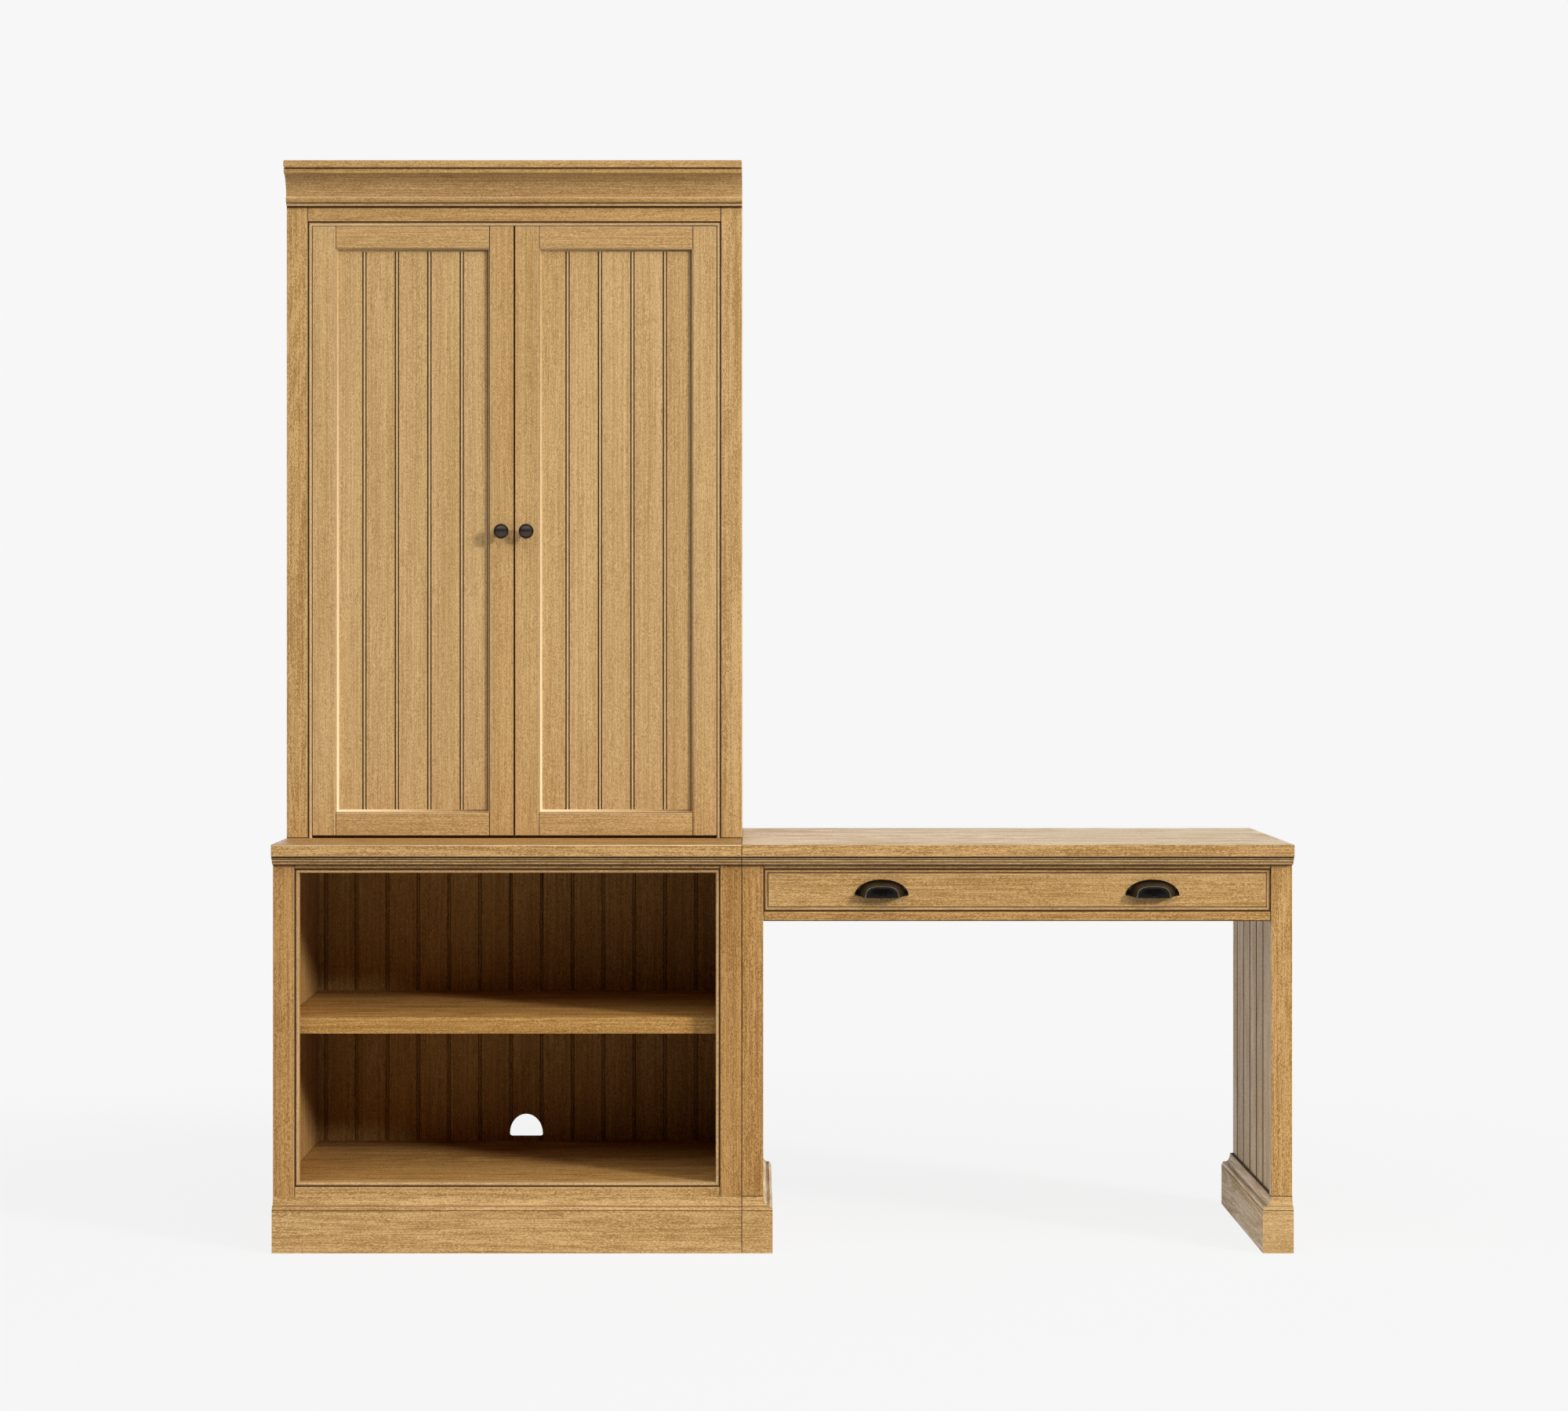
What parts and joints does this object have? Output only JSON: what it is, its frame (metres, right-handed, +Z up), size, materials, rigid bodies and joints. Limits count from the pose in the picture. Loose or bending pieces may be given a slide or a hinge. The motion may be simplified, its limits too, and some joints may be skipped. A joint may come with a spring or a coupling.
{
  "type": "writing desk with bookcase",
  "caption": "Oak writing desk with a drawer and cup pulls, joined to an open base bookcase that carries a tall beadboard cupboard with hinged doors and a crown.",
  "frame": {"origin": "on the floor under the middle of the whole unit", "axes": "+Z up, -Y to the front where the doors and the drawer open, +X towards the desk end"},
  "size_m": [1.905, 0.61, 2.06],
  "materials": {
    "oak": "natural oak veneer and solid oak, satin lacquer",
    "drawer_wood": "pale drawer-side wood, satin lacquer",
    "bronze": "dark oil-rubbed bronze",
    "hinge_steel": "nickel-plated steel"
  },
  "bodies": {
    "frame": {"base_top": "oak", "base_plinth": "oak", "base_side_left": "oak", "base_side_right": "oak", "base_bottom": "oak", "base_back": "oak", "base_stile_left": "oak", "base_stile_right": "oak", "base_top_rail": "oak", "base_bottom_rail": "oak", "base_opening_bead": "oak", "base_shelf": "oak", "hutch_top": "oak", "hutch_crown": "oak", "hutch_side_left": "oak", "hutch_side_right": "oak", "hutch_bottom": "oak", "hutch_back": "oak", "hutch_stile_left": "oak", "hutch_stile_right": "oak", "hutch_frieze_rail": "oak", "hutch_opening_bead": "oak", "hutch_shelf_lower": "oak", "hutch_shelf_upper": "oak", "left_door_lower_hinge_arm": "hinge_steel", "left_door_upper_hinge_arm": "hinge_steel", "right_door_lower_hinge_arm": "hinge_steel", "right_door_upper_hinge_arm": "hinge_steel", "desk_top": "oak", "desk_top_rail": "oak", "desk_bottom_rail": "oak", "desk_drawer_bead": "oak", "desk_back_rail": "oak", "desk_leg_left": "oak", "desk_leg_right": "oak", "desk_plinth_left": "oak", "desk_plinth_right": "oak"},
    "left_door": {"left_door_hinge_stile": "oak", "left_door_lock_stile": "oak", "left_door_top_rail": "oak", "left_door_bottom_rail": "oak", "left_door_panel": "oak", "left_door_knob": "bronze", "left_door_lower_hinge_cup": "hinge_steel", "left_door_upper_hinge_cup": "hinge_steel"},
    "right_door": {"right_door_hinge_stile": "oak", "right_door_lock_stile": "oak", "right_door_top_rail": "oak", "right_door_bottom_rail": "oak", "right_door_panel": "oak", "right_door_knob": "bronze", "right_door_lower_hinge_cup": "hinge_steel", "right_door_upper_hinge_cup": "hinge_steel"},
    "drawer": {"drawer_front": "oak", "drawer_side_left": "drawer_wood", "drawer_side_right": "drawer_wood", "drawer_back": "drawer_wood", "drawer_bottom": "drawer_wood", "left_cup_pull": "bronze", "right_cup_pull": "bronze"}
  },
  "joints": [
    {"name": "left_door_hinge", "type": "hinge", "parent": "frame", "child": "left_door", "pos_m": [-0.9013, -0.0735, 0.7675], "axis": [0, 0, -1], "range_deg": [0, 105]},
    {"name": "right_door_hinge", "type": "hinge", "parent": "frame", "child": "right_door", "pos_m": [-0.1277, -0.0735, 0.7675], "axis": [0, 0, 1], "range_deg": [0, 105]},
    {"name": "drawer_slide", "type": "slide", "parent": "frame", "child": "drawer", "axis": [0, -1, 0], "range_m": [0, 0.36]}
  ]
}
